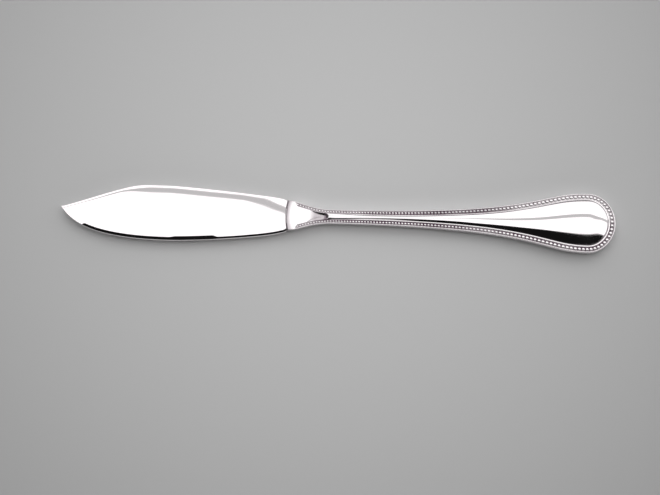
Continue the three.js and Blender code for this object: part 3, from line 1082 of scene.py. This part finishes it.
@dataclass(frozen=True)
class HandleShell:
    """One struck half shell of the handle with its bead row and thread.

    The beads' fill is their length as a share of the pitch, and across is their width as a share of the
    form's bead size. Each is a pair for the neck and the dome.
    """

    form: HandleForm
    wear_and_shade: HandleWearAndShade
    side: Side
    finish: Material
    bead_finish: Material
    bead_crown: float = 0.5
    bead_fill: Pair = (0.8, 0.98)
    bead_across: Pair = (0.84, 1.0)
    thread_crown: float = 0.65
    fan_step: float = 0.0002
    sharp_angle: float = 42.0

    # Shares and angles of the corners across each band of the struck surface and of the hollow
    WALL = np.linspace(0.0, 1.0, 4)
    RIM = np.linspace(0.0, QUARTER_TURN, 6)[1:]
    CHANNEL = np.linspace(0.0, 1.0, 7)[1:]
    PANEL_CROWDING = 1.5
    PANEL = np.linspace(0.0, 1.0, 22) ** PANEL_CROWDING
    HOLLOW = np.linspace(0.0, 1.0, 5)

    # Numbers of rays along a flank and round its half of the butt
    LIP_RAYS = 10
    STEM_RAYS = 230
    BUTT_RAYS = 72
    BEAD_RAYS = (2400, 600)
    THREAD_RAYS = (180, 50)

    @property
    def node(self) -> str:
        """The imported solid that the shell's pieces stand for."""
        return f"handle_{self.side.label}_shell"

    def _placed(self, x: Array, y: Array, height: Array) -> Array:
        """Points in the knife's frame, from places along and across the handle, turned over for the back."""
        places, sign = self.form.places, self.side.value
        return np.stack([places.mouth_x + x, sign * y, places.seam_z + sign * height], axis=-1)

    def _rays(self, flank: int) -> Rays:
        """Close-set rays of one flank.

        Args:
            flank: 1 or -1.

        Returns:
            The rays in order.
        """
        form = self.form
        lip = 1.0 - np.cos(np.linspace(0.0, QUARTER_TURN, self.LIP_RAYS))
        fan = np.arange(form.mouth_bow + form.lip_round, form.neck_at, self.fan_step)[1:]
        stem = np.linspace(form.neck_at, form.butt_centre, self.STEM_RAYS)
        along = np.concatenate([form.mouth_bow + form.lip_round * lip, fan, stem])
        return form.rays(along, self.BUTT_RAYS, flank)

    def _outer(self, rays: Rays) -> tuple[Array, Array, Array]:
        """The struck surface along each ray: wall, round rim, bead channel, thread bed and panel.

        Args:
            rays: The rays.

        Returns:
            Depth inside the outline, height over the seam and amount of patina and painted shade.
        """
        form = self.form
        rim, channel, _ = form.border(rays.along)
        top = form.rim_height(rays.along)
        floor = form.floor_height(rays.along)
        shoulder = top - form.edge_round
        panel_depth, panel_height = form.panel(rays, self.PANEL)
        depth = np.concatenate([
            0.0 * top * self.WALL,
            rim / 2 * (1.0 - np.cos(self.RIM)),
            rim / 2 * (1.0 + np.sin(self.RIM)),
            rim + channel * self.CHANNEL,
            panel_depth,
        ], axis=1)
        height = np.concatenate([
            between(form.places.seam_half, shoulder, self.WALL),
            shoulder + form.edge_round * np.sin(self.RIM),
            between(floor, top, np.cos(self.RIM)),
            floor + 0.0 * self.CHANNEL,
            panel_height,
        ], axis=1)
        # Patina and painted shade on the struck surface, and painted shade on the lip.
        patina_and_shade = np.maximum(self._surface_patina_and_shade(rays, panel_depth), self.wear_and_shade.lip(rays, depth))
        return depth, height - form.lip(rays.along - form.mouth_bow), patina_and_shade

    def _surface_patina_and_shade(self, rays: Rays, panel_depth: Array) -> Array:
        """Patina and painted shade on the corners of the struck surface, apart from the lip's painted shade.

        Args:
            rays: The rays.
            panel_depth: Depths of the panel's corners inside the outline.

        Returns:
            The amount of patina and painted shade at each corner, one ray to a row.
        """
        form, wear_and_shade = self.form, self.wear_and_shade
        share = form.border_share(rays.along)
        lightened = wear_and_shade.lightened(rays)
        # Rim, inner wall, channel and groove carry patina and painted shade, less where the border is
        # lightened.
        rim = between(*wear_and_shade.rim_patina_and_shade, form.growth(rays.along)) * (1.0 - lightened)
        wall = wear_and_shade.rim_wall_patina_and_shade * (1.0 - lightened / 2) + wear_and_shade.film(rays)
        groove = between(*wear_and_shade.groove_patina_and_shade, form.thread_rises.at(rays.along)) * (1.0 - lightened)
        bed = np.clip(1.0 - self.PANEL / wear_and_shade.groove_width, 0.0, 1.0)
        return np.concatenate([
            0.0 * share * self.WALL,
            share * rim + 0.0 * self.RIM,
            share * between(rim, wall, 1.0 - np.cos(self.RIM)),
            share * (1.0 - lightened * self.CHANNEL),
            np.maximum(share * groove * bed, wear_and_shade.notch(rays, panel_depth)),
        ], axis=1)

    def _inner(self, rays: Rays) -> tuple[Array, Array, Array]:
        """The hollow along each ray, one wall below the panel.

        Args:
            rays: The rays.

        Returns:
            Depth inside the outline, height over the seam and amount of patina and painted shade, which is
            none.
        """
        form = self.form
        depth, height = form.panel(rays, self.HOLLOW)
        ceiling = form.floor_height(rays.along)
        sunk = form.wall + form.lip(rays.along - form.mouth_bow)
        wall = np.full_like(ceiling, form.rim_wall)
        seam = np.full_like(ceiling, form.places.seam_half)
        depth = np.concatenate([wall, wall, np.maximum(depth, form.rim_wall + form.edge_round)], axis=1)
        height = np.concatenate([seam, ceiling - sunk, height - sunk], axis=1)
        return depth, height, np.zeros_like(depth)

    def _both_flanks(self, surface: Callable[[Rays], tuple[Array, Array, Array]]) -> tuple[Array, Array]:
        """Grid of points over both flanks, from the mouth round the butt and back.

        Args:
            surface: What gives the depths, heights and amounts of patina and painted shade along the rays of
                a flank.

        Returns:
            The points and their patina and painted shade, one ray to a row.
        """
        points, patina_and_shade_rows = [], []
        for flank in (1, -1):
            rays = self._rays(flank)
            depth, height, patina_and_shade = surface(rays)
            points.append(self._placed(*rays.inward(depth), height))
            patina_and_shade_rows.append(patina_and_shade)
        return there_and_back(*points), there_and_back(*patina_and_shade_rows)

    def build_shell(self) -> Piece:
        """Makes the shell as a closed sheet: struck surface, hollow, seam face and open mouth.

        Returns:
            The finished shell.
        """
        outer, outer_patina_and_shade = self._both_flanks(self._outer)
        inner, inner_patina_and_shade = self._both_flanks(self._inner)
        rows, rings = outer.shape[:2]
        struck = np.arange(rows * rings).reshape(rows, rings)
        hollow = struck.size + np.arange(rows * inner.shape[1]).reshape(rows, -1)
        faces = []
        for row in range(rows - 1):
            faces += strip(struck[row], struck[row + 1])
            faces += [(a, d, c, b) for a, b, c, d in strip(hollow[row], hollow[row + 1])]
            faces.append((struck[row, 0], struck[row + 1, 0], hollow[row + 1, 0], hollow[row, 0]))
        faces += [(*struck[row], *hollow[row, ::-1]) for row in (0, rows - 1)]
        points = np.concatenate([outer.reshape(-1, 3), inner.reshape(-1, 3)])
        patina_and_shade = np.concatenate([outer_patina_and_shade.ravel(), inner_patina_and_shade.ravel()])
        piece = smooth_piece(f"{self.side.label}_shell", points, faces, self.sharp_angle, patina_and_shade)
        piece.data.materials.append(self.finish)
        seat(piece, self.node)
        return piece

    def _bead_line(self, flank: int) -> tuple[Array, dict[str, Array]]:
        """Places and sizes of the beads along one flank, with a pitch that grows with the beads.

        Args:
            flank: 1 or -1.

        Returns:
            Points on the channel's floor, and the beads' lengths, widths, turns, share of skirt patina and
            shade kept, and darkening.
        """
        form, wear_and_shade = self.form, self.wear_and_shade
        count, turns = self.BEAD_RAYS
        rays = form.rays(np.linspace(form.bead_start_at, form.butt_centre, count), turns, flank)
        bead = form.bead_size(rays.along)
        pitch = form.bead_pitch(rays.along)
        growth = form.growth(rays.along)
        rim, _, _ = form.border(rays.along)
        x, y = rays.inward(rim + bead / 2)
        run, rise = np.gradient(x, axis=0), np.gradient(y, axis=0)
        strides = np.hypot(np.diff(x, axis=0), np.diff(y, axis=0)) / pitch[1:]
        passed = np.concatenate([[0.0], np.cumsum(strides)])
        total = round(passed[-1])
        wanted = (np.arange(total) + 0.5) * passed[-1] / total
        spots = (x, y, form.floor_height(rays.along))
        line = [np.interp(wanted, passed, values.ravel()) for values in spots]
        sizes = {
            "bead_length": pitch * between(*self.bead_fill, growth),
            "bead_width": bead * between(*self.bead_across, growth),
            "bead_turn": self.side.value * np.arctan2(rise, run),
            "bead_skirt_kept": 1.0 - wear_and_shade.lightened(rays),
            "bead_darkening": wear_and_shade.film(rays),
        }
        return self._placed(*line), {key: np.interp(wanted, passed, sizes[key].ravel()) for key in sizes}

    def build_beads(self, tree: Tree) -> Piece:
        """Sets a bead on every place of the row, on both flanks.

        Args:
            tree: The bead row's Geometry Nodes tree.

        Returns:
            The finished row.
        """
        (near, near_sizes), (far, far_sizes) = (self._bead_line(flank) for flank in (1, -1))
        sizes = {label: np.concatenate([near_sizes[label], far_sizes[label]]) for label in near_sizes}
        piece = bare_line(f"{self.side.label}_bead_row", np.concatenate([near, far]), [], sizes)
        settle(piece, tree, {"Crown": self.bead_crown, "Finish": self.bead_finish})
        seat(piece, self.node)
        return piece

    def _thread_line(self, flank: int) -> tuple[Array, Array, Array]:
        """The thread along one flank.

        Args:
            flank: 1 or -1.

        Returns:
            Points on its axis, its widths and the painted shade on it.
        """
        form = self.form
        count, turns = self.THREAD_RAYS
        rays = form.rays(np.linspace(form.thread_rises.start, form.butt_centre, count), turns, flank)
        rim, channel, width = form.border(rays.along)
        x, y = rays.inward(rim + channel + width / 2)
        rise = form.channel_depth * form.thread_rises.at(rays.along)
        rise = rise * (1.0 - self.wear_and_shade.lost_from_thread(rays))
        height = form.floor_height(rays.along) + rise - self.thread_crown * width / 2
        return self._placed(x, y, height)[:, 0], width, self.wear_and_shade.film_on_thread(rays)

    def build_thread(self, tree: Tree) -> Piece:
        """Runs the thread round the panel, from one side of the neck to the other.

        Args:
            tree: The thread's Geometry Nodes tree.

        Returns:
            The finished thread.
        """
        lines = zip(self._thread_line(1), self._thread_line(-1))
        points, width, film = (there_and_back(near, far) for near, far in lines)
        edges = [(i, i + 1) for i in range(len(points) - 1)]
        # Painted shade on the thread by the spine.
        sizes = {"thread_width": width, "patina_and_shade": film}
        piece = bare_line(f"{self.side.label}_thread", points, edges, sizes)
        settle(piece, tree, {"Crown": self.thread_crown, "Finish": self.finish})
        seat(piece, self.node)
        return piece


def bare_line(name: str, points: Array, edges: list[Face], sizes: dict[str, Array]) -> Piece:
    """Makes the bare line or row of points that a Geometry Nodes tree works on.

    Args:
        name: Name of the piece that it becomes.
        points: Corners, one to a row.
        edges: Pairs of corners to join.
        sizes: Named sizes to keep at each corner.

    Returns:
        The new object, linked to the scene.
    """
    mesh = bpy.data.meshes.new(name)
    mesh.from_pydata(points.tolist(), edges, [])
    for label, values in sizes.items():
        keep_values(mesh, label, values)
    return linked_object(name, mesh)


def settle(piece: Piece, tree: Tree, inputs: dict[str, object]) -> None:
    """Runs a Geometry Nodes tree on a piece and keeps the result as its plain mesh.

    Args:
        piece: The bare line or points.
        tree: The tree.
        inputs: A value for each of the tree's named inputs.
    """
    modifier = piece.modifiers.new(tree.name, "NODES")
    modifier.node_group = tree
    for name, value in inputs.items():
        modifier[tree.interface.items_tree[name].identifier] = value
    evaluated = piece.evaluated_get(bpy.context.evaluated_depsgraph_get())
    mesh = bpy.data.meshes.new_from_object(evaluated)
    piece.modifiers.clear()
    piece.data = mesh
    mesh.name = piece.name


def new_tree(name: str) -> tuple[NodeSketch, Node]:
    """Starts a Geometry Nodes tree that takes geometry, a crown and a finish, and gives geometry.

    Args:
        name: The tree's name.

    Returns:
        A sketch of the tree and its Group Input node.
    """
    tree = bpy.data.node_groups.new(name, "GeometryNodeTree")
    inputs = {"Geometry": "NodeSocketGeometry", "Crown": "NodeSocketFloat", "Finish": "NodeSocketMaterial"}
    for label, kind in inputs.items():
        tree.interface.new_socket(label, in_out="INPUT", socket_type=kind)
    tree.interface.new_socket("Geometry", in_out="OUTPUT", socket_type="NodeSocketGeometry")
    sketch = NodeSketch(tree)
    return sketch, sketch.add("NodeGroupInput")


def close_tree(sketch: NodeSketch, geometry: Socket, finish: Socket) -> Tree:
    """Ends a tree: realizes, smooths and dresses its geometry.

    Args:
        sketch: The tree's sketch.
        geometry: The socket that gives the geometry.
        finish: The socket that gives the material.

    Returns:
        The whole tree.
    """
    real = sketch.out("GeometryNodeRealizeInstances", {"Geometry": geometry})
    smooth = sketch.out("GeometryNodeSetShadeSmooth", {"Geometry": real})
    dressed = sketch.out("GeometryNodeSetMaterial", {"Geometry": smooth, "Material": finish})
    sketch.add("NodeGroupOutput", {"Geometry": dressed})
    return sketch.tree


def bead_row_tree() -> Tree:
    """Tree that sets a low oval bead on every point, with the sizes, turn, patina and painted shade kept
    there.

    Returns:
        The tree, with inputs for the beads' crown and finish.
    """
    sketch, entry = new_tree("bead_row")
    points = sketch.out("GeometryNodeMeshToPoints", {"Mesh": entry.outputs["Geometry"]})
    sphere = {"Segments": BEAD_SEGMENTS, "Rings": BEAD_RINGS, "Radius": HALF_UNIT}
    ball = sketch.out("GeometryNodeMeshUVSphere", sphere)
    spot = sketch.add("ShaderNodeSeparateXYZ", {"Vector": sketch.out("GeometryNodeInputPosition")})
    # Patina and painted shade fade up each bead's skirt from its base.
    skirt = {"Value": spot.outputs["Z"], "From Max": BEAD_SKIRT, "To Min": 1.0, "To Max": 0.0}
    skirted = sketch.keep(ball, "patina_and_shade", sketch.out("ShaderNodeMapRange", skirt))
    width = sketch.kept("bead_width")
    high = sketch.math("MULTIPLY", width, entry.outputs["Crown"])
    scale = sketch.out("ShaderNodeCombineXYZ", {"X": sketch.kept("bead_length"), "Y": width, "Z": high})
    turn = sketch.out("ShaderNodeCombineXYZ", {"Z": sketch.kept("bead_turn")})
    turned = sketch.out("FunctionNodeEulerToRotation", {"Euler": turn})
    setting = {"Points": points, "Instance": skirted, "Rotation": turned, "Scale": scale}
    beads = sketch.out("GeometryNodeInstanceOnPoints", setting)
    real = sketch.out("GeometryNodeRealizeInstances", {"Geometry": beads})
    # Skirt patina and painted shade, less where the border is lightened, plus the darkening along the
    # middle.
    shades = [sketch.kept(label) for label in ("patina_and_shade", "bead_skirt_kept", "bead_darkening")]
    shaded = sketch.keep(real, "patina_and_shade", sketch.math("MULTIPLY_ADD", *shades))
    return close_tree(sketch, shaded, entry.outputs["Finish"])


def thread_tree() -> Tree:
    """Tree that sweeps a low oval wire along a line, as wide as the line's thread_width.

    Returns:
        The tree, with inputs for the wire's crown and finish.
    """
    sketch, entry = new_tree("thread")
    path = sketch.out("GeometryNodeMeshToCurve", {"Mesh": entry.outputs["Geometry"]})
    line = sketch.out("GeometryNodeSetCurveNormal", {"Curve": path}, mode="Z_UP")
    round_section = {"Resolution": THREAD_CORNERS, "Radius": HALF_UNIT}
    circle = sketch.out("GeometryNodeCurvePrimitiveCircle", round_section)
    oval = sketch.out("ShaderNodeCombineXYZ", {"X": 1.0, "Y": entry.outputs["Crown"], "Z": 1.0})
    section = sketch.out("GeometryNodeTransform", {"Geometry": circle, "Scale": oval})
    width = sketch.kept("thread_width")
    sweep = {"Curve": line, "Profile Curve": section, "Scale": width, "Fill Caps": True}
    return close_tree(sketch, sketch.out("GeometryNodeCurveToMesh", sweep), entry.outputs["Finish"])


@dataclass(frozen=True)
class StudioSky:
    """Soft light overhead and behind, in long panels along the knife, and a dark room towards the front.

    The bands are angles from straight up, in degrees, positive towards the back, with the brightness there.
    The ends do the same for the direction's share along the knife.
    """

    level: float = 1.3
    bands: Pairs = (
        (-90.0, 0.60), (-64.0, 0.60), (-53.0, 0.005), (-8.6, 0.005), (-8.0, 1.0), (14.6, 1.0),
        (15.0, 0.43), (20.5, 0.43), (20.9, 1.0), (52.0, 1.0), (68.0, 0.60), (90.0, 0.45),
    )
    ends: Pairs = ((-0.95, 0.5), (-0.88, 0.05), (-0.70, 0.05), (-0.58, 1.0), (0.80, 1.0), (0.95, 0.8))
    band_reach: float = 90.0

    def build(self) -> None:
        """Paints the bands on the scene's world."""
        world = bpy.data.worlds.new("studio_sky")
        world.use_nodes = True
        bpy.context.scene.world = world
        sketch = NodeSketch(world.node_tree)
        toward = sketch.add("ShaderNodeTexCoord").outputs["Generated"]
        parts = sketch.add("ShaderNodeSeparateXYZ", {"Vector": toward})
        angle = sketch.math("ARCTAN2", parts.outputs["Y"], parts.outputs["Z"])
        panels = sketch.tones(sketch.math("DEGREES", angle), self.band_reach, self.bands)
        ends = sketch.tones(parts.outputs["X"], 1.0, self.ends)
        strength = sketch.math("MULTIPLY", ends, self.level)
        sketch.wire(world.node_tree.nodes["Background"], {"Color": panels, "Strength": strength})


@dataclass(frozen=True)
class StudioFloor:
    """Plain pale grey floor with a painted pool of light round the knife, softly darker towards its borders.
    """

    side: float = 8.0
    drop: float = 0.00002
    light: Colour = (0.765, 0.765, 0.765)
    dark: Colour = (0.33, 0.33, 0.33)
    glow_centre: Place = (-0.002, 0.026, 0.0)
    glow_radius: float = 0.26
    roughness: float = 0.8

    def build(self) -> None:
        """Lays the floor under the knife."""
        corner = self.side / 2
        corners = [(-corner, -corner), (corner, -corner), (corner, corner), (-corner, corner)]
        mesh = bpy.data.meshes.new("studio_floor")
        mesh.from_pydata([(x, y, -self.drop) for x, y in corners], [], [(0, 1, 2, 3)])
        mesh.materials.append(self._material())
        floor = linked_object("studio_floor", mesh)

    def _material(self) -> Material:
        """Pale paper with a painted pool of light round the knife.

        Returns:
            The material.
        """
        material, sketch, shader = new_material("studio_paper")
        ends = {0: sketch.place(), 1: self.glow_centre}
        # Painted pool of light: the paper's colour darkens with distance from a spot by the knife.
        away = sketch.add("ShaderNodeVectorMath", ends, operation="DISTANCE")
        glow = {"Value": away.outputs["Value"], "From Max": self.glow_radius}
        tone = sketch.out("ShaderNodeMapRange", glow, interpolation_type="SMOOTHSTEP")
        sketch.wire(shader, {
            "Base Color": sketch.blend(tone, (*self.light, 1.0), (*self.dark, 1.0)),
            "Roughness": self.roughness,
            "Specular IOR Level": 0.0,
        })
        return material


@dataclass(frozen=True)
class PhotoCamera:
    """Camera almost straight above the knife, a little towards its cutting side."""

    target: Place = (-0.0023, -0.0094, 0.0022)
    elevation: float = 82.0
    roll: float = 1.5
    focal_pixels: float = 1500.0
    metres_per_pixel: float = 0.0003063
    sensor_width: float = 36.0
    near_share: float = 0.01

    def build(self) -> None:
        """Places the camera and makes it the scene's own."""
        data = bpy.data.cameras.new("photo_camera")
        data.sensor_fit = "HORIZONTAL"
        data.sensor_width = self.sensor_width
        data.lens = self.focal_pixels * self.sensor_width / PHOTO_WIDTH
        distance = self.focal_pixels * self.metres_per_pixel
        data.clip_start = distance * self.near_share
        tilt = math.radians(self.elevation)
        back = Vector((0.0, -math.cos(tilt), math.sin(tilt)))
        right = Vector((1.0, 0.0, 0.0))
        axes = Matrix((right, back.cross(right), back)).transposed()
        turn = Matrix.Rotation(math.radians(self.roll), 3, "Z")
        place = Matrix.Translation(Vector(self.target) + back * distance)
        camera = linked_object("photo_camera", data)
        camera.matrix_world = place @ (axes @ turn).to_4x4()
        bpy.context.scene.camera = camera


def dress_hidden_nodes() -> None:
    """Gives the core and the solder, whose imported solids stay, their finishes."""
    for node, finish in HIDDEN_FINISHES.items():
        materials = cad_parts[node].data.materials
        materials.clear()
        materials.append(finish.material())
        log.info("%s keeps its solid", node)


def main() -> None:
    """Builds the knife, the studio and the camera."""
    logging.basicConfig(level=logging.INFO, format="%(name)s: %(message)s")
    bpy.context.scene.view_settings.view_transform = "Standard"
    places = KnifePlaces.read()
    pieces = [Blade(places, PolishedSilver("blade_silver")).build()]
    form = HandleForm(places)
    handle_silver = PolishedSilver("handle_silver").material()
    bead_silver = PolishedSilver("bead_silver", gloss=0.12, haze=0.2).material()
    beads = bead_row_tree()
    threads = thread_tree()
    for side in Side:
        shell = HandleShell(form, HandleWearAndShade(form), side, handle_silver, bead_silver)
        pieces += [shell.build_shell(), shell.build_beads(beads), shell.build_thread(threads)]
    for piece in pieces:
        log.info("%s has %d faces", piece.name, len(piece.data.polygons))
    dress_hidden_nodes()
    StudioFloor().build()
    StudioSky().build()
    PhotoCamera().build()


if __name__ == "__main__":
    main()
